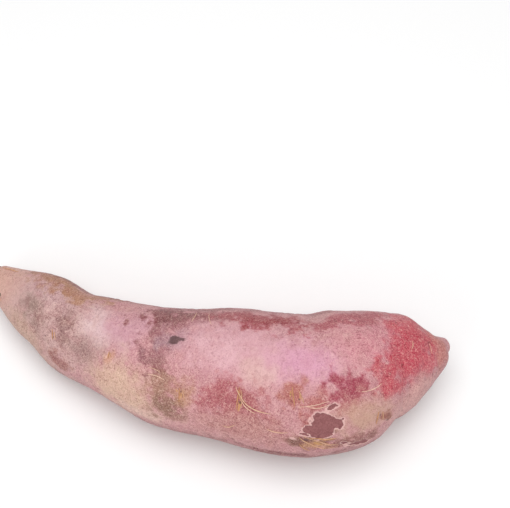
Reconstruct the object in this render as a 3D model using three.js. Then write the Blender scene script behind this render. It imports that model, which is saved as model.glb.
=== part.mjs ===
// A Japanese sweet potato: one whole storage root in its skin, lying on its side.
// Millimetres. +X runs from the stem end to the root tip, +Z is up, and the inner side of
// the bow faces +Y. The origin is on the ground, below the middle of the root.

import * as THREE from 'three';

// The root is drawn as stations along its core. Each row holds the distance from the stem
// end, the sideways bow of the core, the height of the underside above the ground, and the
// half width and half height of the root there. A little below zero is pressed flat.
const stations = [
  [0, 0, 6.5, 5.5, 5.5],
  [9, -4, 4.5, 9, 8.5],
  [26, -12, 1, 15, 14.5],
  [45, -21, 0.5, 18, 17.5],
  [69, -28, -0.5, 22.5, 21],
  [93, -31, -0.5, 25, 24.5],
  [116, -30, -0.5, 27.5, 26.5],
  [139, -30, -0.5, 29, 28.5],
  [157, -23, -0.5, 28.5, 28],
  [170, -14, 1.5, 24, 24],
  [179, -9, 5, 19.5, 20],
  [186.5, -5, 10, 13.5, 14.5],
  [191.5, -2, 15, 8.5, 9.5],
  [194.5, 1, 19.5, 4.2, 4.8],
  [197, 3, 21.8, 2.2, 2.2],
];

// Swells and hollows of the skin: distance along the core from the stem end, angle round it
// in degrees (0 on the inner side of the bow, 90 on top), reach along in millimetres, reach
// round in degrees, and height, which is negative for a hollow.
const swells = [
  [35, 210, 6, 40, -0.8],
  [46, 30, 9, 35, -1],
  [50, 205, 8, 40, 1.2],
  [72, 200, 14, 40, -2.5],
  [90, 110, 7, 60, -0.6],
  [92, 205, 9, 40, 1],
  [105, 136, 5, 14, -0.8],
  [118, 350, 16, 35, 1],
  [128, 134, 7, 12, -0.9],
  [146, 122, 7, 12, -0.7],
  [158, 45, 8, 30, -1.3],
  [178, 190, 6, 40, -2],
  [197, 50, 6, 40, 1.5],
];

const stemRounding = 3.5;
const tipRounding = 1.5;
const rings = 68;
const sides = 36;
const endCrowding = 0.85;
const coreSteps = 2000;
const skinColour = 0xc98f98;
const skinRoughness = 0.75;

// A smooth curve through the stations, with its three values picked from each row.
function throughStations(pick) {
  const points = stations.map((station) => new THREE.Vector3(...pick(station)));
  const curve = new THREE.CatmullRomCurve3(points, false, 'catmullrom', 0.5);
  curve.arcLengthDivisions = coreSteps;
  return curve;
}

const core = throughStations(([along, bow, lift, , halfHeight]) => [along, bow, lift + halfHeight]);
const girth = throughStations(([, , , halfWidth, halfHeight]) => [halfWidth, halfHeight, 0]);
const coreLength = core.getLength();

// A quarter ellipse that closes an end over its rounding: 0 at the end, 1 past the rounding.
function closing(distance, rounding) {
  const left = 1 - Math.min(distance, rounding) / rounding;
  return Math.sqrt(1 - left * left);
}

// How far the skin stands above or below the plain ellipse at one place.
function swelling(distance, degrees) {
  return swells.reduce((sum, [along, round, reachAlong, reachRound, height]) => {
    const turned = THREE.MathUtils.euclideanModulo(degrees - round + 180, 360) - 180;
    return sum + height * Math.exp(-(((distance - along) / reachAlong) ** 2) - (turned / reachRound) ** 2);
  }, 0);
}

// One ring of skin, square to the core at a share of its length, pressed flat on the ground.
function ringOfSkin(share) {
  const distance = share * coreLength;
  const place = core.getUtoTmapping(share);
  const centre = core.getPoint(place);
  const { x: halfWidth, y: halfHeight } = girth.getPoint(place);
  const ahead = core.getTangent(place);
  const side = new THREE.Vector3(0, 0, 1).cross(ahead).normalize();
  const up = ahead.clone().cross(side);
  const closed = closing(distance, stemRounding) * closing(coreLength - distance, tipRounding);
  return Array.from({ length: sides }, (_, step) => {
    const degrees = (step * 360) / sides;
    const cos = Math.cos(THREE.MathUtils.degToRad(degrees));
    const sin = Math.sin(THREE.MathUtils.degToRad(degrees));
    const ellipse = 1 / Math.hypot(cos / halfWidth, sin / halfHeight);
    const radius = (ellipse + swelling(distance, degrees)) * closed;
    const point = centre.clone().addScaledVector(side, radius * cos).addScaledVector(up, radius * sin);
    point.z = Math.max(point.z, 0);
    return point;
  });
}

// The closed skin: rings crowded towards both ends, with one point closing each end.
function rootGeometry() {
  const points = [core.getPoint(0)];
  for (let ring = 1; ring < rings; ring += 1) {
    const step = ring / rings;
    const share = step - (endCrowding * Math.sin(2 * Math.PI * step)) / (2 * Math.PI);
    points.push(...ringOfSkin(share));
  }
  points.push(core.getPoint(1));

  const tip = points.length - 1;
  const corner = (ring, side) => 1 + (ring - 1) * sides + (side % sides);
  const triangles = [];
  for (let side = 0; side < sides; side += 1) {
    triangles.push(0, corner(1, side + 1), corner(1, side));
    for (let ring = 1; ring < rings - 1; ring += 1) {
      const near = corner(ring, side);
      const nearNext = corner(ring, side + 1);
      const far = corner(ring + 1, side);
      const farNext = corner(ring + 1, side + 1);
      triangles.push(near, nearNext, far, far, nearNext, farNext);
    }
    triangles.push(tip, corner(rings - 1, side), corner(rings - 1, side + 1));
  }

  const geometry = new THREE.BufferGeometry().setFromPoints(points);
  geometry.setIndex(triangles);
  geometry.computeBoundingBox();
  const middle = geometry.boundingBox.getCenter(new THREE.Vector3());
  geometry.translate(-middle.x, -middle.y, 0);
  geometry.computeVertexNormals();
  return geometry;
}

const skin = new THREE.MeshStandardMaterial({
  color: skinColour,
  roughness: skinRoughness,
  metalness: 0,
});
const tuber = new THREE.Mesh(rootGeometry(), skin);
tuber.name = 'tuber';

const sweetPotato = new THREE.Group();
sweetPotato.add(tuber);

export default sweetPotato;
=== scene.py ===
"""The looks of one Japanese sweet potato: its finished skin, its dry rootlets and a plain studio."""

import bpy
import numpy as np
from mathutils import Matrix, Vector


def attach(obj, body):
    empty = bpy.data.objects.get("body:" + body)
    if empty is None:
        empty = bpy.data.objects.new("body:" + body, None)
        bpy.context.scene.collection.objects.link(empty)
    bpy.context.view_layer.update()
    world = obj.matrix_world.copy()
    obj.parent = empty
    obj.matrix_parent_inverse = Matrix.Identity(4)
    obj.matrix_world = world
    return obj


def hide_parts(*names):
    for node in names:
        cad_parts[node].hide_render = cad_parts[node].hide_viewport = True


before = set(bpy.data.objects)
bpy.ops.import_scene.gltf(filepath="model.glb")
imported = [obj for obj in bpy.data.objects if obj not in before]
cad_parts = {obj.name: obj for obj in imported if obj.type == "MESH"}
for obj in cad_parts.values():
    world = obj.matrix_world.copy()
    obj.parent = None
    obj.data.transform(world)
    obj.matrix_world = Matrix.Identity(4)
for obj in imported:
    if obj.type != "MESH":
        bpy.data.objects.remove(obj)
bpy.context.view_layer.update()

# ---------------------------------------------------------------------------------------------
# The root's shape. A storage root is one body that grew in the ground: a core bowed to one side,
# thickest towards the tip, pinched in at the fine roots. It is drawn as stations along the core
# and a few broad swells. All lengths are millimetres until they reach a mesh.

MM = 0.001
# Distance from the stem end, sideways bow, height of the underside, half width, half height.
STATIONS = np.array([
    (0, 0, 6.5, 5.5, 5.5),
    (9, -4, 4.5, 9, 8.5),
    (26, -12, 1, 15, 14.5),
    (45, -21, 0.5, 18, 17.5),
    (69, -28, -0.5, 22.5, 21),
    (93, -31, -0.5, 25, 24.5),
    (116, -30, -0.5, 27.5, 26.5),
    (139, -30, -0.5, 29, 28.5),
    (157, -23, -0.5, 28.5, 28),
    (170, -14, 1.5, 24, 24),
    (179, -9, 5, 19.5, 20),
    (186.5, -5, 10, 13.5, 14.5),
    (191.5, -2, 15, 8.5, 9.5),
    (194.5, 1, 19.5, 4.2, 4.8),
    (197, 3, 21.8, 2.2, 2.2),
], dtype=float)
# Distance along the core, degrees round it (0 inside the bow, 90 on top), reach along,
# reach round in degrees, and height.
SWELLS = [
    (35, 210, 6, 40, -0.8),
    (46, 30, 9, 35, -1),
    (50, 205, 8, 40, 1.2),
    (72, 200, 14, 40, -2.5),
    (90, 110, 7, 60, -0.6),
    (92, 205, 9, 40, 1),
    (105, 136, 5, 14, -0.8),
    (118, 350, 16, 35, 1),
    (128, 134, 7, 12, -0.9),
    (146, 122, 7, 12, -0.7),
    (158, 45, 8, 30, -1.3),
    (178, 190, 6, 40, -2),
    (197, 50, 6, 40, 1.5),
]
STEM_ROUNDING = 3.5
TIP_ROUNDING = 1.5
CORE_STEPS = 4000


def unit(vectors):
    """Each vector divided by its own length."""
    return vectors / np.maximum(np.linalg.norm(vectors, axis=-1, keepdims=True), 1e-12)


def through(rows, place):
    """A smooth curve through rows of values, place 0 to 1: a cubic between each two rows that
    leaves each row in the direction from the row before it to the row after it."""
    padded = np.vstack([2 * rows[0] - rows[1], rows, 2 * rows[-1] - rows[-2]])
    spans = len(rows) - 1
    scaled = np.clip(np.asarray(place, dtype=float) * spans, 0, spans - 1e-9)
    row = scaled.astype(int)
    share = (scaled - row)[..., None]
    before, start, end, after = (padded[row + step] for step in range(4))
    leave, arrive = (end - before) / 2, (after - start) / 2
    cubic = 2 * start - 2 * end + leave + arrive
    square = 3 * end - 3 * start - 2 * leave - arrive
    return ((cubic * share + square) * share + leave) * share + start


core_rows = np.column_stack([STATIONS[:, 0], STATIONS[:, 1], STATIONS[:, 2] + STATIONS[:, 4]])
core_places = np.linspace(0, 1, CORE_STEPS + 1)
core_line = through(core_rows, core_places)
core_run = np.append(0, np.cumsum(np.linalg.norm(np.diff(core_line, axis=0), axis=1)))
CORE_LENGTH = core_run[-1]


def core_at(along):
    """The core's centre, side and up directions and half sizes at distances along it. The side
    is level and square to the core; up is square to both."""
    place = np.interp(along, core_run, core_places)
    near = 0.5 / CORE_STEPS
    ahead = through(core_rows, np.clip(place + near, 0, 1))
    ahead = ahead - through(core_rows, np.clip(place - near, 0, 1))
    side = unit(np.cross((0.0, 0.0, 1.0), ahead))
    return through(core_rows, place), side, np.cross(unit(ahead), side), through(STATIONS[:, 3:], place)


def closing(distance, rounding):
    """A quarter ellipse that closes an end: 0 at the end, 1 once past its rounding."""
    left = 1 - np.clip(distance, 0, rounding) / rounding
    return np.sqrt(1 - left ** 2)


def turn_between(degrees, other):
    """The signed angle from one bearing to another, from -180 to 180."""
    return (degrees - other + 180) % 360 - 180


def bare_skin(along, around):
    """Places on the smooth root and the directions out of its core. The section is an ellipse,
    raised or lowered by each swell as a bell that fades along and round."""
    along, around = np.broadcast_arrays(np.asarray(along, dtype=float), np.asarray(around, dtype=float))
    centre, side, up, half = core_at(along)
    cos, sin = np.cos(np.radians(around)), np.sin(np.radians(around))
    radius = 1 / np.hypot(cos / half[..., 0], sin / half[..., 1])
    for swell_along, swell_around, reach_along, reach_around, height in SWELLS:
        bell = ((along - swell_along) / reach_along) ** 2
        bell = bell + (turn_between(around, swell_around) / reach_around) ** 2
        radius = radius + height * np.exp(-bell)
    radius = radius * closing(along, STEM_ROUNDING) * closing(CORE_LENGTH - along, TIP_ROUNDING)
    out = side * cos[..., None] + up * sin[..., None]
    return centre + out * radius[..., None], out


# The grid of the skin: rings crowded a little towards the ends, the first column underneath.
RINGS, SIDES, END_CROWDING = 438, 224, 0.6
ring_share = np.linspace(0, 1, RINGS + 1)[1:-1]
ring_share = ring_share - END_CROWDING * np.sin(2 * np.pi * ring_share) / (2 * np.pi)
along_grid = (ring_share * CORE_LENGTH)[:, None] + np.zeros(SIDES)
around_grid = (270 + np.arange(SIDES) * 360 / SIDES) + np.zeros((len(ring_share), 1))
bare_places, out_grid = bare_skin(along_grid, around_grid)
flat_places = bare_places.reshape(-1, 3)
middle = (flat_places.min(axis=0) + flat_places.max(axis=0)) / 2 * (1, 1, 0)

# ---------------------------------------------------------------------------------------------
# The skin's relief. The skin is a thin dry layer over wet flesh. It dimples where fine roots
# leave it, shrinks into faint cross wrinkles, and has scraped and flaked in places.


def lattice(cells, seed):
    """A fixed random value from 0 to 1 for each whole-numbered corner of space."""
    mixed = cells[..., 0] * 374761393 + cells[..., 1] * 668265263 + cells[..., 2] * 1274126177
    mixed = (mixed + seed * 1442695041) & 0xFFFFFFFF
    mixed = ((mixed ^ (mixed >> 13)) * 1274126177) & 0xFFFFFFFF
    return (mixed ^ (mixed >> 16)) / 0xFFFFFFFF


def waver(places, size, seed):
    """Smooth noise from -1 to 1: random values on a lattice of one size, eased between corners."""
    scaled = places / size
    cell = np.floor(scaled).astype(np.int64)
    share = scaled - cell
    share = share * share * (3 - 2 * share)
    total = 0
    for corner in np.ndindex(2, 2, 2):
        weight = np.prod(np.where(corner, share, 1 - share), axis=-1)
        total = total + weight * lattice(cell + corner, seed)
    return total * 2 - 1


def cloud(places, size, seed):
    """Three layers of noise, each half the size and half the strength of the one before."""
    layers = [waver(places, size / 2 ** layer, seed + layer) / 2 ** layer for layer in range(3)]
    return sum(layers) / 1.4


def spot(along, around, length, width, tilt, places=None):
    """How far each place of the skin is from a mark, 1 at its rim: an ellipsoid on the skin with
    a half length, a half width, and a tilt in degrees from along towards round."""
    places = bare_places if places is None else places
    centre, out = bare_skin(along, around)
    ahead = unit(bare_skin(along + 0.5, around)[0] - bare_skin(along - 0.5, around)[0])
    across = unit(np.cross(out, ahead))
    sense = np.sign(across @ (bare_skin(along, around + 1)[0] - centre))
    turn = np.radians(tilt)
    long_way = ahead * np.cos(turn) + across * sense * np.sin(turn)
    wide_way = across * sense * np.cos(turn) - ahead * np.sin(turn)
    offset = places - centre
    parts = (offset @ long_way / length, offset @ wide_way / width, offset @ out / max(length, width))
    return np.sqrt(sum(part ** 2 for part in parts))


def fade(distance, soft):
    """1 inside a mark, 0 outside it, eased over its rim by the given softness."""
    share = np.clip((1 + soft - distance) / (2 * soft), 0, 1)
    return share * share * (3 - 2 * share)


# Scars of fine roots: along, around, half length, half width, tilt, depth.
ROOT_SCARS = [
    (104, 137, 3.2, 1.3, 85, 0.55),
    (129, 132, 5.2, 1.4, 88, 0.7),
    (146, 122, 4.2, 1.8, 82, 0.6),
    (169, 153, 3, 1.3, 95, 0.5),
    (150, 164, 3.4, 2.4, 20, 0.6),
    (74, 119, 1.6, 0.8, 80, 0.35),
    (47, 131, 2.2, 1.6, 60, 0.4),
    (62, 20, 3.4, 1.2, 85, 0.6),
    (101, 12, 4.4, 1.4, 92, 0.7),
    (136, 8, 4.8, 1.5, 86, 0.7),
    (88, 300, 3.6, 1.3, 95, 0.5),
    (122, 232, 4.2, 1.4, 84, 0.6),
    (165, 300, 3.8, 1.4, 90, 0.6),
    (188, 15, 2.4, 1.1, 80, 0.4),
]
# Creases in the skin: along, around, half length, half width, tilt, depth.
CREASES = [
    (141, 184, 14, 0.8, 2, 0.45),
    (133, 190, 9, 0.7, 5, 0.35),
    (154, 166, 6, 0.6, 14, 0.4),
    (156, 172, 7, 0.6, 8, 0.45),
    (152, 176, 6, 0.5, 10, 0.3),
    (171, 163, 3.2, 0.7, 30, 0.4),
    (60, 172, 6, 0.7, 20, 0.3),
    (52, 166, 4, 0.6, 40, 0.3),
    (204, 140, 3, 0.6, 80, 0.3),
    (202, 62, 3, 0.6, 95, 0.3),
    (196, 118, 2.4, 0.6, 85, 0.3),
    (187, 112, 3.6, 0.8, 82, 0.35),
    (24, 200, 5, 0.7, 10, 0.3),
    (80, 330, 9, 0.8, 95, 0.4),
    (150, 330, 10, 0.8, 88, 0.4),
    (180, 320, 8, 0.8, 92, 0.4),
]
edge_cloud = cloud(bare_places, 3.2, 11)
fine_cloud = cloud(bare_places, 1.4, 23)

relief = 0.34 * waver(bare_places, 15, 3) + 0.2 * cloud(bare_places, 6.5, 5) + 0.05 * fine_cloud
# Cross wrinkles: noise drawn out round the root by flattening its coordinates that way.
straight = np.stack([
    along_grid,
    np.linalg.norm(bare_places - core_at(along_grid)[0], axis=-1) * np.cos(np.radians(around_grid)),
    np.linalg.norm(bare_places - core_at(along_grid)[0], axis=-1) * np.sin(np.radians(around_grid)),
], axis=-1)
relief += 0.07 * waver(straight * (1, 0.12, 0.12), 1.5, 31)
for along, around, length, width, tilt, depth in ROOT_SCARS:
    dimple = spot(along, around, length, width, tilt)
    relief -= depth * np.exp(-dimple ** 2)
    relief += 0.3 * depth * np.exp(-((dimple - 2.1) / 0.7) ** 2)
for along, around, length, width, tilt, depth in CREASES:
    groove = spot(along, around, length, width, tilt) + 0.5 * edge_cloud
    relief -= depth * np.exp(-groove ** 2)

# Where the outer skin has flaked off: along, around, half length, half width, tilt.
FLAKES = [
    (152.5, 148, 5.5, 6, 0),
    (149.5, 149, 3.5, 2, 10),
    (156.5, 148, 2.5, 2.5, -20),
    (155, 133, 2.5, 1.3, -20),
    (147.5, 153, 1.2, 0.7, 0),
    (146, 158, 0.8, 0.6, 0),
    (163, 177, 4.5, 1.4, 10),
    (158, 171, 1.8, 0.9, 20),
    (167.5, 178, 1.6, 0.8, 0),
    (57, 345, 4.4, 3.2, 20),
    (142, 252, 6, 3.4, -20),
]
FLAKE_DEPTH = 0.28
# How far inside a flaked place each point lies, about 3 mm to the unit near its edge. The skin
# drops by the flake's depth inside it and curls up a little just outside it.
flake = np.full(along_grid.shape, -4.0)
for along, around, length, width, tilt in FLAKES:
    inside = (1 - spot(along, around, length, width, tilt)) * np.sqrt(length * width) / 3
    flake = np.maximum(flake, inside)
flake = flake + 0.16 * edge_cloud + 0.42 * waver(bare_places, 2.2, 29) + 0.2 * waver(bare_places, 1, 37)
relief -= FLAKE_DEPTH * fade(1 - flake * 3, 0.3)
relief += 0.16 * np.exp(-((flake + 0.16) / 0.13) ** 2)
end_fade = closing(along_grid, 6) * closing(CORE_LENGTH - along_grid, 5)
skin_places = bare_places + out_grid * (relief * end_fade)[..., None] - middle
skin_places[..., 2] = np.maximum(skin_places[..., 2], 0)

# ---------------------------------------------------------------------------------------------
# The skin's colours. The pink lies in the thin skin, under a pale lavender bloom. Soil and
# storage leave tan, grey and brown patches, and rubbed places show deep rose. Each patch is
# listed: along, around, half length, half width, tilt, colour, strength, softness,
# raggedness. Colours are display values from 0 to 255.

# The palest bloom along the top of the root is partly a painted highlight.
SKIN_PINK = (214, 160, 165)
PATCHES = [
    # the slim third: beige cast, lavender top, peach stem end, tan flank, orange-tan top edge
    (38, 118, 36, 21, 0, (216, 190, 184), 0.8, 0.5, 0.3),
    (34, 76, 12, 7, 0, (214, 182, 184), 0.75, 0.6, 0.5),
    (5, 110, 15, 16, 0, (228, 190, 172), 0.9, 0.7, 0.1),
    (33, 172, 16, 7, 0, (208, 180, 158), 0.9, 0.6, 0.3),
    (30, 50, 12, 5, 0, (178, 128, 96), 0.85, 0.6, 0.9),
    (46, 46, 15, 4, 0, (188, 140, 102), 0.9, 0.5, 1.0),
    # its four grey bruises and the red-brown rub below them
    (31, 116, 6, 6, 20, (156, 134, 124), 0.85, 0.8, 0.7),
    (38, 128, 7, 4, 40, (168, 140, 132), 0.8, 0.8, 0.7),
    (49, 110, 7, 5, 40, (156, 120, 118), 0.85, 0.7, 0.8),
    (62, 126, 8, 6, 20, (166, 136, 132), 0.85, 0.8, 0.5),
    (53, 163, 5, 3, 30, (160, 104, 98), 0.85, 0.4, 1.0),
    # the white bloom beside them, partly a painted highlight, and the pink after it
    (64, 90, 9, 7, 30, (240, 218, 220), 0.95, 0.7, 0.4),
    (78, 84, 10, 9, 0, (222, 176, 190), 0.85, 0.7, 0.4),
    # the cream flank, a pale strip of painted light along the lower rim, the peach ring round a pore
    (82, 150, 15, 11, 0, (230, 202, 176), 0.95, 0.6, 0.4),
    (90, 172, 12, 4, 0, (240, 214, 198), 0.85, 0.6, 0.3),
    (74, 119, 2, 2, 0, (222, 170, 140), 0.7, 0.7, 0.4),
    # the blotched maroon band across the root, brown at its lower end
    (88, 62, 6, 8, 0, (138, 70, 76), 0.95, 0.4, 1.0),
    (97, 57, 9, 7, 0, (128, 68, 72), 0.95, 0.4, 1.0),
    (109, 53, 10, 5, 0, (148, 82, 84), 0.9, 0.4, 1.0),
    (92, 82, 5, 7, 70, (150, 94, 100), 0.9, 0.4, 1.1),
    (94, 103, 4, 6, 80, (150, 96, 102), 0.85, 0.35, 1.1),
    (95, 119, 5, 4, 20, (150, 98, 98), 0.9, 0.3, 1.2),
    (97, 136, 5, 5, 0, (176, 136, 112), 0.8, 0.5, 0.9),
    (100, 155, 6, 6, 30, (142, 106, 84), 0.9, 0.5, 0.9),
    # grey round the dark hollow, tan round the first root scar
    (99, 88, 6, 4, -28, (132, 102, 114), 0.9, 0.6, 0.9),
    (105, 133, 4, 5, 0, (196, 150, 116), 0.75, 0.6, 0.7),
    # the bloom over the thick middle, partly a painted highlight: pink, lavender, white and cream
    (132, 90, 33, 14, 0, (230, 184, 194), 0.9, 0.6, 0.4),
    (148, 96, 12, 9, 0, (228, 170, 198), 0.85, 0.7, 0.3),
    (116, 92, 10, 6, 10, (236, 194, 202), 0.75, 0.7, 0.5),
    (136, 108, 8, 6, 30, (232, 198, 190), 0.7, 0.6, 0.6),
    # worn rose round the root scars, the rose strip along the top, the paler flank below as painted light
    (122, 138, 9, 9, 0, (184, 98, 108), 0.95, 0.5, 0.8),
    (133, 140, 8, 9, 0, (178, 94, 100), 0.85, 0.5, 0.9),
    (146, 123, 4, 5, 0, (184, 108, 96), 0.85, 0.5, 1.0),
    (150, 132, 5, 6, 0, (186, 106, 100), 0.8, 0.5, 0.9),
    (131, 49, 17, 6, 0, (160, 54, 66), 0.95, 0.45, 1.0),
    (118, 168, 15, 6, 0, (222, 170, 172), 0.8, 0.5, 0.7),
    (134, 162, 18, 7, 0, (196, 140, 136), 0.85, 0.6, 0.5),
    # the full end: pink, magenta blotch, tan hollow, rose and pale top edge
    (180, 88, 18, 14, 0, (228, 154, 168), 0.8, 0.7, 0.4),
    (160, 126, 8, 8, 20, (164, 52, 78), 0.95, 0.45, 1.1),
    (165, 146, 12, 8, 0, (214, 178, 156), 0.9, 0.7, 0.6),
    (174, 54, 14, 5, 0, (182, 88, 102), 0.9, 0.5, 0.9),
    (158, 42, 6, 4, 0, (218, 172, 172), 0.85, 0.5, 0.7),
    # the red shoulder before the tip, the pale flank under it as painted light, the browner tip
    (174, 119, 7, 6, 0, (204, 76, 92), 0.85, 0.5, 1.0),
    (197, 80, 11, 12, 0, (210, 84, 98), 0.9, 0.7, 0.5),
    (194, 108, 10, 11, 0, (204, 62, 86), 0.9, 0.8, 0.6),
    (186, 118, 9, 8, 0, (208, 70, 92), 0.9, 0.7, 0.7),
    (198, 132, 7, 6, 0, (216, 84, 104), 0.8, 0.5, 0.8),
    (188, 164, 17, 8, 0, (226, 178, 174), 0.9, 0.5, 0.5),
    (207, 110, 5, 8, 0, (208, 130, 120), 0.8, 0.6, 0.5),
    # the small brown scar, the wrinkled brown scar, the dark red crease, the scraped strip
    (170, 154, 1.6, 3, 0, (150, 90, 66), 0.85, 0.4, 1.0),
    (150, 162, 6, 5, 0, (126, 78, 62), 0.9, 0.5, 1.0),
    (152, 170, 5, 2, 10, (224, 176, 130), 0.75, 0.4, 1.1),
    (143, 186, 19, 2, 2, (130, 60, 72), 0.85, 0.5, 0.7),
    (163, 172, 8, 3, 10, (150, 90, 84), 0.85, 0.4, 1.2),
    # the back and the underside, which are not known: the same kinds of marks
    (60, 350, 26, 12, 0, (200, 142, 140), 0.8, 0.6, 0.4),
    (62, 8, 10, 7, 0, (172, 104, 104), 0.8, 0.6, 0.8),
    (110, 5, 28, 14, 0, (206, 150, 158), 0.8, 0.6, 0.4),
    (100, 342, 10, 8, 0, (176, 96, 106), 0.85, 0.6, 0.8),
    (140, 355, 12, 10, 0, (180, 96, 110), 0.85, 0.6, 0.8),
    (85, 340, 6, 4, 0, (158, 122, 106), 0.8, 0.7, 0.8),
    (170, 345, 18, 14, 0, (204, 124, 134), 0.8, 0.6, 0.5),
    (125, 335, 9, 6, 0, (208, 168, 146), 0.8, 0.7, 0.7),
    (60, 275, 26, 12, 0, (206, 170, 150), 0.85, 0.6, 0.4),
    (105, 280, 22, 11, 0, (198, 152, 142), 0.85, 0.6, 0.5),
    (92, 262, 9, 7, 0, (160, 116, 102), 0.8, 0.6, 0.8),
    (145, 268, 20, 14, 0, (202, 146, 146), 0.8, 0.6, 0.5),
    (132, 302, 9, 8, 0, (172, 92, 102), 0.85, 0.6, 0.8),
    (160, 232, 14, 9, 0, (204, 158, 146), 0.85, 0.6, 0.5),
    (120, 218, 20, 8, 0, (204, 150, 152), 0.8, 0.6, 0.4),
    (184, 285, 14, 11, 0, (196, 104, 116), 0.85, 0.6, 0.5),
    (188, 230, 10, 8, 0, (206, 144, 140), 0.8, 0.6, 0.5),
    (30, 300, 13, 9, 0, (212, 168, 152), 0.8, 0.6, 0.4),
    (40, 235, 12, 6, 0, (190, 150, 136), 0.7, 0.6, 0.6),
]
# Small dark marks and pits: along, around, half length, half width, tilt.
PITS = [
    (98.5, 88, 4, 3, -28),
    (102, 85, 2, 1.2, -20),
    (104, 134, 0.9, 0.8, 0),
    (129, 128, 0.8, 0.7, 0),
    (129.5, 135, 0.8, 0.9, 0),
    (145, 120, 0.8, 0.7, 0),
    (147, 124, 0.7, 0.9, 0),
    (74, 118, 0.9, 0.5, 85),
    (46, 128, 1, 0.5, 40),
    (48, 134, 0.7, 0.9, 0),
    (45, 138, 0.6, 0.5, 0),
    (13, 140, 1.2, 0.6, 50),
    (169, 152, 0.6, 1.3, 0),
    (171.5, 163, 1.6, 0.6, 30),
    (148.5, 160, 1.8, 0.7, 20),
    (147.5, 149, 0.8, 0.6, 0),
    (208.5, 165, 1.4, 0.8, 60),
    (62, 20, 0.9, 1, 0),
    (101, 12, 0.9, 1.2, 0),
    (136, 8, 0.9, 1.2, 0),
    (122, 232, 0.9, 1.1, 0),
    (88, 300, 0.8, 1, 0),
    (165, 300, 0.9, 1.1, 0),
]
# Straw-coloured fibre in the scars: along, around, half length, half width, tilt.
STRAW = [
    (104, 141, 4, 0.9, 95),
    (103, 134, 1.6, 0.7, 60),
    (129, 128, 3.6, 0.6, 84),
    (129.5, 138, 3.4, 0.7, 92),
    (145, 121, 3.8, 0.8, 90),
    (147.5, 122, 2.8, 0.7, 84),
    (151, 166, 3.2, 1, 20),
    (155, 171, 4.5, 0.7, 8),
    (62, 22, 2.4, 0.7, 86),
    (101, 15, 3.2, 0.7, 90),
    (136, 11, 3.4, 0.8, 90),
    (122, 235, 3, 0.7, 90),
    (88, 303, 2.6, 0.7, 90),
]


def strongest(marks, ragged):
    """How deep each place lies inside any of some marks: 1 at a mark's middle, 0 at its rim."""
    return np.max([1 - spot(*mark) for mark in marks], axis=0) + ragged * edge_cloud


# Patches are drawn on places pushed about by noise, so that their outlines wander.
wander = np.stack([3 * waver(bare_places, 11, 61 + axis) + 1.2 * waver(bare_places, 4, 71 + axis)
                   for axis in range(3)], axis=-1)
patch_places = bare_places + wander
skin_colours = np.zeros(bare_places.shape) + SKIN_PINK
skin_colours += cloud(bare_places, 17, 41)[..., None] * (10, 12, 9)
skin_colours += cloud(bare_places, 6, 47)[..., None] * (6, 9, 8)
for along, around, length, width, tilt, colour, strength, soft, ragged in PATCHES:
    reach = spot(along, around, length, width, tilt, patch_places)
    reach = reach + ragged * (edge_cloud + 0.5 * fine_cloud)
    covered = strength * fade(reach, soft)
    skin_colours += (np.array(colour) - skin_colours) * covered[..., None]
# Painted shade: the outer flank near the ground is darkened, with broken darker lines of painted
# shade where it turns under; the inner flank has fainter ones.
underside_shade_share = fade((np.abs(turn_between(around_grid, 232)) + 5 * edge_cloud) / 46, 0.35)
skin_colours += (np.array((122, 74, 70)) - skin_colours) * 0.4 * underside_shade_share[..., None]
broken = np.clip(0.6 + cloud(bare_places, 13, 53), 0, 1)
for line_around, line_width, strength in ((201, 9, 0.7), (31, 7, 0.4)):
    drift = turn_between(around_grid, line_around) + 9 * cloud(bare_places, 20, 57) + 5 * edge_cloud
    rim_shade_share = strength * broken * np.exp(-(drift / line_width) ** 2)
    skin_colours += (np.array((88, 48, 46)) - skin_colours) * rim_shade_share[..., None]
# Where the bloom is thick the skin looks smooth; elsewhere its grain shows.
SMOOTH = [(135, 92, 32, 13, 0), (72, 92, 12, 8, 0), (165, 148, 10, 6, 0), (20, 110, 12, 7, 0)]
coarse_share = 1 - 0.8 * np.max([fade(spot(*mark, patch_places), 0.9) for mark in SMOOTH], axis=0)
pit = strongest(PITS, 0.35)
straw = strongest(STRAW, 0.4)


def linear(colours):
    """Display values from 0 to 255 as the linear values that shaders use."""
    shares = np.clip(np.asarray(colours, dtype=float) / 255, 0, 1)
    return np.where(shares <= 0.04045, shares / 12.92, ((shares + 0.055) / 1.055) ** 2.4)


def rgba(*colour):
    """One display colour as the four linear numbers that a colour socket takes."""
    return (*linear(colour), 1.0)


# ---------------------------------------------------------------------------------------------
# The skin as one closed mesh. The real skin is a thin, dry, dusty layer grown over the flesh, matt
# and finely grained. Its colours and marks are stored on the mesh's points, and its material adds
# the grain, the flaked edges and the fine bumps.


def ring_faces(count, sides):
    """Four-sided faces between rings of points that each close on themselves. They face outwards
    where the points run anticlockwise, seen looking back from the last ring to the first."""
    ring, side = np.meshgrid(np.arange(count - 1), np.arange(sides), indexing="ij")
    after = (side + 1) % sides
    near, far = ring * sides, (ring + 1) * sides
    return np.stack([near + side, near + after, far + after, far + side], axis=-1).reshape(-1, 4)


def end_faces(first, sides, point, outward):
    """Three-sided faces that close a ring of points with one point; outward turns them round."""
    side = np.arange(sides)
    after = (side + 1) % sides
    near, far = (after, side) if outward else (side, after)
    return np.column_stack([np.full(sides, point), first + near, first + far])


def new_piece(name, points, faces, material):
    """A smooth-shaded object from points in millimetres and faces."""
    mesh = bpy.data.meshes.new(name)
    mesh.from_pydata((points * MM).tolist(), [], faces)
    mesh.polygons.foreach_set("use_smooth", np.ones(len(mesh.polygons), dtype=bool))
    mesh.materials.append(material)
    piece = bpy.data.objects.new(name, mesh)
    bpy.context.collection.objects.link(piece)
    return piece


def closed(values, stem, tip):
    """A grid of values as one row per point, with the two end points after it."""
    return np.concatenate([values.reshape(len(skin_grid), -1), np.atleast_2d(stem), np.atleast_2d(tip)])


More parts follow.
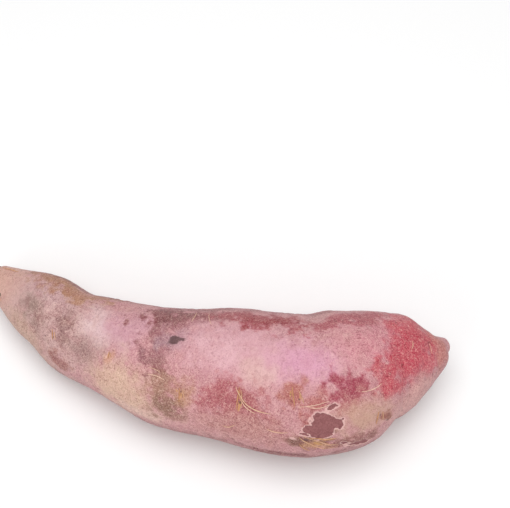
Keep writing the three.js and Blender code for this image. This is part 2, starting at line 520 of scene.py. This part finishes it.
def put_attribute(piece, name, kind, values):
    """Stores one value or colour on each point of a piece."""
    field = {"FLOAT": "value", "FLOAT_COLOR": "color", "FLOAT_VECTOR": "vector"}[kind]
    stored = piece.data.attributes.new(name, kind, "POINT")
    stored.data.foreach_set(field, np.ravel(values).astype(np.float32))


skin_grid = skin_places.reshape(-1, 3)
stem_point = core_line[0] - middle
tip_point = core_line[-1] - middle
skin_points = np.vstack([skin_grid, stem_point, tip_point])
rings = len(ring_share)
skin_faces = ring_faces(rings, SIDES).tolist()
skin_faces += end_faces(0, SIDES, len(skin_grid), True).tolist()
skin_faces += end_faces((rings - 1) * SIDES, SIDES, len(skin_grid) + 1, False).tolist()

skin = bpy.data.materials.new("sweet_potato_skin")
skin.use_nodes = True
tree = skin.node_tree
tree.nodes.clear()


def add(kind, inputs=None, **settings):
    """Adds a node to the tree being built, sets its properties and fills its inputs: an input's
    value is either a constant or another node's output."""
    made = tree.nodes.new(kind)
    for name, value in settings.items():
        setattr(made, name, value)
    for name, value in (inputs or {}).items():
        if isinstance(value, bpy.types.NodeSocket):
            tree.links.new(value, made.inputs[name])
        else:
            made.inputs[name].default_value = value
    return made


def measure(name):
    """The node that reads a value stored on the points."""
    return add("ShaderNodeAttribute", attribute_name=name)


def sums(operation, *values):
    """One arithmetic step between numbers or outputs."""
    return add("ShaderNodeMath", dict(enumerate(values)), operation=operation).outputs[0]


def noise(place, size, detail=3.0, roughness=0.55, curl=0.0):
    """Noise over a place in metres, with features of a size in millimetres, curled by a share."""
    settings = {"Vector": place, "Scale": 1 / (size * MM), "Detail": detail, "Roughness": roughness}
    settings["Distortion"] = curl
    return add("ShaderNodeTexNoise", settings).outputs["Fac"]


def eased(value, low, high, start=0.0, end=1.0):
    """A value mapped from one range to another with eased ends."""
    inputs = {"Value": value, "From Min": low, "From Max": high, "To Min": start, "To Max": end}
    return add("ShaderNodeMapRange", inputs, interpolation_type="SMOOTHSTEP").outputs[0]


def blend(share, first, second, way="MIX"):
    """Two colours mixed by a share."""
    made = add("ShaderNodeMix", data_type="RGBA", blend_type=way)
    for socket, value in ((0, share), (6, first), (7, second)):
        if isinstance(value, bpy.types.NodeSocket):
            tree.links.new(value, made.inputs[socket])
        else:
            made.inputs[socket].default_value = value
    return made.outputs[2]


place = add("ShaderNodeTexCoord").outputs["Object"]
straight_place = measure("straight").outputs["Vector"]
drawn_out = add("ShaderNodeMapping", {"Vector": straight_place, "Scale": (1, 0.3, 0.3)})
grain = noise(place, 1.5, 3.0, 0.7, 1.6)
dust = noise(place, 0.9, 2.0, 0.6, 2.4)
streaks = noise(drawn_out.outputs["Vector"], 1.1, 3.0, 0.6)
mottle = noise(place, 4.5, 4.0, 0.6)
edge_noise = noise(place, 1.6, 4.0, 0.65)
coarse = measure("coarse").outputs["Fac"]

colour = measure("skin_colour").outputs["Color"]
# The bloom is worn off in flecks, so a deeper rose shows through the palest places.
colour = blend(eased(mottle, 0.42, 0.68, 0, 0.2), colour, rgba(186, 112, 122))
colour = blend(eased(streaks, 0.5, 0.75, 0, 0.24), colour, rgba(160, 108, 108))
# Fine grain of the dry skin: paler dusty flecks over a deeper ground.
show = sums("MULTIPLY_ADD", coarse, 0.75, 0.25)
deep_fleck = blend(1.0, colour, rgba(178, 150, 150), "MULTIPLY")
pale_fleck = blend(0.55, colour, rgba(255, 226, 212))
fleck_share = sums("MULTIPLY", eased(grain, 0.5, 0.26), show)
colour = blend(fleck_share, colour, deep_fleck)
fleck_share = sums("MULTIPLY", eased(grain, 0.5, 0.76), show)
colour = blend(fleck_share, colour, pale_fleck)
fleck_share = sums("MULTIPLY", eased(dust, 0.47, 0.78), show)
colour = blend(fleck_share, colour, pale_fleck)
fleck_share = sums("MULTIPLY", eased(dust, 0.5, 0.22), show)
colour = blend(fleck_share, colour, deep_fleck)

flake_edge = sums("ADD", measure("flake").outputs["Fac"], sums("MULTIPLY", edge_noise, 0.5))
flaked = eased(flake_edge, 0.24, 0.3)
colour = blend(eased(flake_edge, -0.02, 0.2, 0, 0.85), colour, rgba(244, 206, 200))
under_skin = blend(eased(grain, 0.3, 0.7), rgba(136, 82, 84), rgba(168, 114, 114))
colour = blend(flaked, colour, under_skin)

straw_edge = sums("ADD", measure("straw").outputs["Fac"], sums("MULTIPLY", edge_noise, 0.8))
straw_share = eased(straw_edge, 0.5, 0.9)
colour = blend(sums("MULTIPLY", straw_share, 0.75), colour, rgba(216, 170, 108))
pit_edge = sums("ADD", measure("pit").outputs["Fac"], sums("MULTIPLY", edge_noise, 1.2))
pit_share = eased(pit_edge, 0.75, 1.15)
colour = blend(sums("MULTIPLY", pit_share, 0.8), colour, rgba(84, 58, 58))

# The studio light is strong, so the skin's colours are turned down together.
colour = blend(1.0, colour, (0.86, 0.78, 0.78, 1), "MULTIPLY")

height = sums("ADD", sums("MULTIPLY", grain, 0.5), sums("MULTIPLY", streaks, 0.35))
height = sums("ADD", height, sums("MULTIPLY", flaked, -0.6))
height = sums("ADD", height, sums("MULTIPLY", pit_share, -0.5))
bump = add("ShaderNodeBump", {"Height": height, "Strength": 0.6, "Distance": 0.5 * MM})
rough = sums("ADD", eased(grain, 0.3, 0.7, 0.5, 0.66), sums("MULTIPLY", flaked, 0.12))
surface = add("ShaderNodeBsdfPrincipled", {
    "Base Color": colour,
    "Roughness": rough,
    "IOR": 1.4,
    "Normal": bump.outputs["Normal"],
})
add("ShaderNodeOutputMaterial", {"Surface": surface.outputs["BSDF"]})

tuber_skin = new_piece("tuber_skin", skin_points, skin_faces, skin)
STEM_BROWN, TIP_BROWN = (150, 116, 92), (166, 104, 92)
put_attribute(tuber_skin, "skin_colour", "FLOAT_COLOR", np.column_stack([
    linear(closed(skin_colours, STEM_BROWN, TIP_BROWN)), np.ones(len(skin_points)),
]))
straight_points = closed(straight, (0, 0, 0), (CORE_LENGTH, 0, 0))
put_attribute(tuber_skin, "straight", "FLOAT_VECTOR", straight_points * MM)
put_attribute(tuber_skin, "coarse", "FLOAT", closed(coarse_share, 1, 1))
put_attribute(tuber_skin, "flake", "FLOAT", closed(flake, -4, -4))
put_attribute(tuber_skin, "pit", "FLOAT", closed(pit, -4, -4))
put_attribute(tuber_skin, "straw", "FLOAT", closed(straw, -4, -4))
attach(tuber_skin, "root")
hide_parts("tuber")

# ---------------------------------------------------------------------------------------------
# Dry rootlets. Fine roots once grew out of the dimples. What is left is brittle hairs and split
# fibres lying on the skin, straw to peach in colour, each drawn as a thin tapered tube.

HAIR_RINGS, HAIR_SIDES = 26, 7
# Each strand is given: where it starts (along, around), its heading in degrees (0 towards the
# tip, 90 round towards the front), its length, its bend in degrees, half width, lift, paleness.
HAIRS = [
    # the long hair of the middle scar and the finer one beside it
    (127, 122, 65, 17, -75, 0.26, 0.1, 0.6),
    (129, 130, 55, 9, -40, 0.2, 0.2, 0.8),
    # two hairs in a narrow V above the flaked place
    (147, 130, -8, 8, -8, 0.14, 0.3, 0.95),
    (149, 130, 25, 6, -60, 0.14, 0.3, 0.9),
    # short pale fibres over the maroon band and the top edge
    (92, 125, -20, 7, 50, 0.16, 0.1, 0.9),
    (92, 118, -10, 5, 40, 0.14, 0.1, 0.7),
    (103, 45, 80, 8, 20, 0.14, 0.05, 0.7),
    (109, 46, 85, 9, -25, 0.14, 0.05, 0.8),
    # flecks in the red shoulder: short pale hairs that also stand for its small glints, painted
    # highlights
    (193, 92, 90, 4, 50, 0.14, 0.05, 0.7),
    (202, 95, 95, 4, 0, 0.14, 0.05, 0.8),
    # the wrinkled scar's fibres, running down and towards the tip
    (147, 156, 70, 11, -30, 0.24, 0.1, 0.4),
    (148, 155, 55, 12, -20, 0.2, 0.1, 0.5),
    (147, 164, 75, 6, -20, 0.18, 0.1, 0.2),
    # loose hairs on the flanks
    (140, 152, 30, 5, -60, 0.18, 0.2, 0.6),
    (121, 160, 10, 8, -50, 0.18, 0.2, 0.6),
    (165, 125, 20, 6, -50, 0.16, 0.1, 0.9),
    # the back, the underside and the stem end
    (103, 20, -40, 22, 50, 0.22, 0.5, 0.8),
    (30, 345, -20, 16, 40, 0.2, 0.3, 0.6),
    (150, 340, 30, 9, -50, 0.2, 0.2, 0.7),
    (4, 60, 10, 9, -20, 0.24, 0.3, 0.3),
    (4, 150, -10, 11, 25, 0.24, 0.3, 0.4),
    (4, 330, -15, 10, 25, 0.24, 0.3, 0.3),
]
# Split fibres left in every root scar: share of the scar's width off its middle, turn in degrees,
# length as a share of the scar's, paleness.
SCAR_FIBRES = [(-0.3, 6, 1.9, 0.1), (0.5, -10, 1.4, 0.4)]


def strand_route(along, around, heading, length, bend):
    """Places along a strand: steps of equal length whose heading turns evenly by the bend. A step
    round the root is turned into degrees by the root's radius there."""
    share = np.linspace(0, 1, HAIR_RINGS)
    way = np.radians(heading + bend * share)
    step = length / (HAIR_RINGS - 1)
    run = along + np.append(0, np.cumsum(np.cos(way[:-1]))) * step
    radius = core_at(np.clip(run, 0, CORE_LENGTH))[3].mean(axis=-1)
    turned = np.append(0, np.cumsum(np.sin(way[:-1]) * step / radius[:-1]))
    return run, around + np.degrees(turned)


def on_skin(along, around, lift):
    """Places on the finished skin, raised off it: the skin's grid read between its points."""
    ring = np.interp(along, along_grid[:, 0], np.arange(rings))
    side = ((np.asarray(around, dtype=float) - 270) % 360) * SIDES / 360
    low_ring = np.clip(ring.astype(int), 0, rings - 2)
    low_side = side.astype(int)
    ring_part, side_part = (ring - low_ring)[..., None], (side - low_side)[..., None]
    total = 0
    for ring_step, side_step in np.ndindex(2, 2):
        weight = (ring_part if ring_step else 1 - ring_part) * (side_part if side_step else 1 - side_part)
        total = total + weight * skin_places[low_ring + ring_step, (low_side + side_step) % SIDES]
    return total + bare_skin(along, around)[1] * lift[..., None]


def tube(centres, wide_way, thick_way, half_width, half_thick):
    """Rings of points round a line, each an ellipse, with a point closing each end."""
    turn = 2 * np.pi * np.arange(HAIR_SIDES) / HAIR_SIDES
    wide = wide_way[:, None] * (np.cos(turn) * half_width[:, None])[..., None]
    thick = thick_way[:, None] * (np.sin(turn) * half_thick[:, None])[..., None]
    points = (centres[:, None] + wide + thick).reshape(-1, 3)
    count = len(points)
    faces = ring_faces(len(centres), HAIR_SIDES).tolist()
    faces += end_faces(0, HAIR_SIDES, count, True).tolist()
    faces += end_faces(count - HAIR_SIDES, HAIR_SIDES, count + 1, False).tolist()
    return np.vstack([points, centres[:1], centres[-1:]]), faces


def hair(along, around, heading, length, bend, half_width, lift):
    """A strand over the skin: a tube that thins to its ends and lies on the skin, or stands off
    it a little in its middle."""
    share = np.linspace(0, 1, HAIR_RINGS)
    run, bearing = strand_route(along, around, heading, length, bend)
    half_thick = 0.8 * half_width
    centres = on_skin(run, bearing, 0.5 * half_thick + lift * np.sin(np.pi * share) ** 2)
    ahead = unit(np.gradient(centres, axis=0))
    across = unit(np.cross(bare_skin(run, bearing)[1], ahead))
    thin = np.sqrt(np.sin(np.pi * (0.04 + 0.93 * share)))
    wobble = 1 + 0.3 * waver(centres, 0.9, 83)
    return tube(centres, across, np.cross(ahead, across), half_width * thin * wobble, half_thick * thin)


def joined(parts):
    """Several lists of points and faces as one."""
    points, faces, first = [], [], 0
    for part_points, part_faces in parts:
        points.append(part_points)
        faces += [[first + corner for corner in face] for face in part_faces]
        first += len(part_points)
    return np.vstack(points), faces


rootlet = bpy.data.materials.new("dry_rootlet")
rootlet.use_nodes = True
tree = rootlet.node_tree
tree.nodes.clear()
place = add("ShaderNodeTexCoord").outputs["Object"]
fibre_noise = noise(place, 1.5, 3.0, 0.7)
colour = blend(measure("pale").outputs["Fac"], rgba(198, 142, 88), rgba(242, 206, 186))
colour = blend(eased(fibre_noise, 0.45, 0.7, 0, 0.5), colour, rgba(150, 100, 70))
surface = add("ShaderNodeBsdfPrincipled", {"Base Color": colour, "Roughness": 0.7, "IOR": 1.4})
add("ShaderNodeOutputMaterial", {"Surface": surface.outputs["BSDF"]})

strands = [hair(*row[:7]) for row in HAIRS]
paleness = [row[7] for row in HAIRS]
for along, around, length, width, tilt, depth in ROOT_SCARS:
    for off, turn, share, pale in SCAR_FIBRES:
        fibre = share * length
        start_around = around - np.degrees(0.5 * fibre / core_at(along)[3].mean())
        strand = hair(along + off * width, start_around, tilt + turn, fibre, 20 * off, 0.2, 0.1)
        strands.append(strand)
        paleness.append(pale)
hair_points, hair_faces = joined(strands)
rootlets = new_piece("rootlets", hair_points, hair_faces, rootlet)
put_attribute(rootlets, "pale", "FLOAT", np.repeat(paleness, len(strands[0][0])))
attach(rootlets, "root")

# ---------------------------------------------------------------------------------------------
# The stem scar. The root was snapped off its vine, which left a short brown woody stub with a
# rough broken end.

# Distance out from the stem end and radius of each ring of the stub.
STUB_RINGS = [
    (-2.5, 5.2), (-0.6, 4.9), (0.6, 4.2), (1.6, 3.4),
    (2.8, 3.1), (3.6, 3.2), (3.9, 2.7), (3.2, 1.6),
]
STUB_SIDES = 48
stub_out = np.array(STUB_RINGS)[:, 0, None] + np.zeros(STUB_SIDES)
stub_radius = np.array(STUB_RINGS)[:, 1, None] + np.zeros(STUB_SIDES)
stub_turn = np.arange(STUB_SIDES) * 2 * np.pi / STUB_SIDES
stem_centre, stem_side, stem_up, _ = core_at(0.0)
stem_ahead = np.cross(stem_side, stem_up)
ridges = np.sin(9 * stub_turn) + 0.6 * np.sin(14 * stub_turn + 1)
stub_radius = stub_radius * (1 + 0.035 * ridges)
stub_out = stub_out + np.where(stub_out > 3, 0.5 * waver(np.stack([
    stub_radius * np.cos(stub_turn), stub_radius * np.sin(stub_turn), stub_radius], axis=-1), 1.1, 91), 0)
stub_ways = stem_side * np.cos(stub_turn)[:, None] + stem_up * np.sin(stub_turn)[:, None]
stub_grid = stem_centre - middle - stub_out[..., None] * stem_ahead + stub_radius[..., None] * stub_ways
stub_count = stub_grid.shape[0] * STUB_SIDES
stub_points = np.vstack([
    stub_grid.reshape(-1, 3),
    stem_centre - middle + 2.5 * stem_ahead,
    stem_centre - middle - 2.8 * stem_ahead,
])
stub_faces = ring_faces(len(stub_grid), STUB_SIDES)[:, ::-1].tolist()
stub_faces += end_faces(0, STUB_SIDES, stub_count, False).tolist()
stub_faces += end_faces(stub_count - STUB_SIDES, STUB_SIDES, stub_count + 1, True).tolist()

woody = bpy.data.materials.new("woody_scar")
woody.use_nodes = True
tree = woody.node_tree
tree.nodes.clear()
place = add("ShaderNodeTexCoord").outputs["Object"]
wood_noise = noise(place, 1.2, 4.0, 0.7)
colour = blend(eased(wood_noise, 0.35, 0.65), rgba(98, 70, 54), rgba(176, 136, 104))
bump = add("ShaderNodeBump", {"Height": wood_noise, "Strength": 0.7, "Distance": 0.6 * MM})
surface = add("ShaderNodeBsdfPrincipled", {
    "Base Color": colour,
    "Roughness": 0.85,
    "Normal": bump.outputs["Normal"],
})
add("ShaderNodeOutputMaterial", {"Surface": surface.outputs["BSDF"]})

stem_scar = new_piece("stem_scar", stub_points, stub_faces, woody)
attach(stem_scar, "root")

# ---------------------------------------------------------------------------------------------
# The studio: a pale floor, an even white surround and soft light from above.

FLOOR_HALF = 1.5
floor_mesh = bpy.data.meshes.new("floor")
floor_signs = [(-1, -1), (1, -1), (1, 1), (-1, 1)]
floor_corners = [(FLOOR_HALF * x_sign, FLOOR_HALF * y_sign, 0) for x_sign, y_sign in floor_signs]
floor_mesh.from_pydata(floor_corners, [], [(0, 1, 2, 3)])
floor = bpy.data.objects.new("floor", floor_mesh)
bpy.context.collection.objects.link(floor)
pale = bpy.data.materials.new("pale_floor")
pale.use_nodes = True
pale.node_tree.nodes["Principled BSDF"].inputs["Base Color"].default_value = (0.97, 0.97, 0.97, 1)
pale.node_tree.nodes["Principled BSDF"].inputs["Roughness"].default_value = 0.9
floor_mesh.materials.append(pale)

scene = bpy.context.scene
scene.view_settings.view_transform = "Standard"
world = bpy.data.worlds.new("surround")
world.use_nodes = True
world.node_tree.nodes["Background"].inputs["Color"].default_value = (1, 1, 1, 1)
world.node_tree.nodes["Background"].inputs["Strength"].default_value = 0.52
scene.world = world


def area_light(name, place, target, size, power):
    """A square soft light at a place in metres, turned towards a target."""
    lamp = bpy.data.lights.new(name, "AREA")
    lamp.size = size
    lamp.energy = power
    holder = bpy.data.objects.new(name, lamp)
    holder.location = place
    holder.rotation_euler = (Vector(place) - Vector(target)).to_track_quat("Z", "Y").to_euler()
    bpy.context.collection.objects.link(holder)


area_light("overhead_softbox", (0.05, -0.1, 0.9), (0, 0, 0.03), 0.7, 5.2)
area_light("front_fill", (-0.4, -0.8, 0.6), (0, 0, 0.03), 0.6, 1.4)

# The camera looks down from the front, a little to the right of square.
CAMERA_AROUND, CAMERA_UP = np.radians(12), np.radians(62)
CAMERA_TARGET = Vector((0.0115, 0.0524, 0.025))
CAMERA_DISTANCE = 0.605
back = Vector((
    np.sin(CAMERA_AROUND) * np.cos(CAMERA_UP),
    -np.cos(CAMERA_AROUND) * np.cos(CAMERA_UP),
    np.sin(CAMERA_UP),
))
lens = bpy.data.cameras.new("camera")
lens.lens = 100
lens.sensor_width = 36
camera = bpy.data.objects.new("camera", lens)
camera.location = CAMERA_TARGET + back * CAMERA_DISTANCE
camera.rotation_euler = back.to_track_quat("Z", "Y").to_euler()
bpy.context.collection.objects.link(camera)
scene.camera = camera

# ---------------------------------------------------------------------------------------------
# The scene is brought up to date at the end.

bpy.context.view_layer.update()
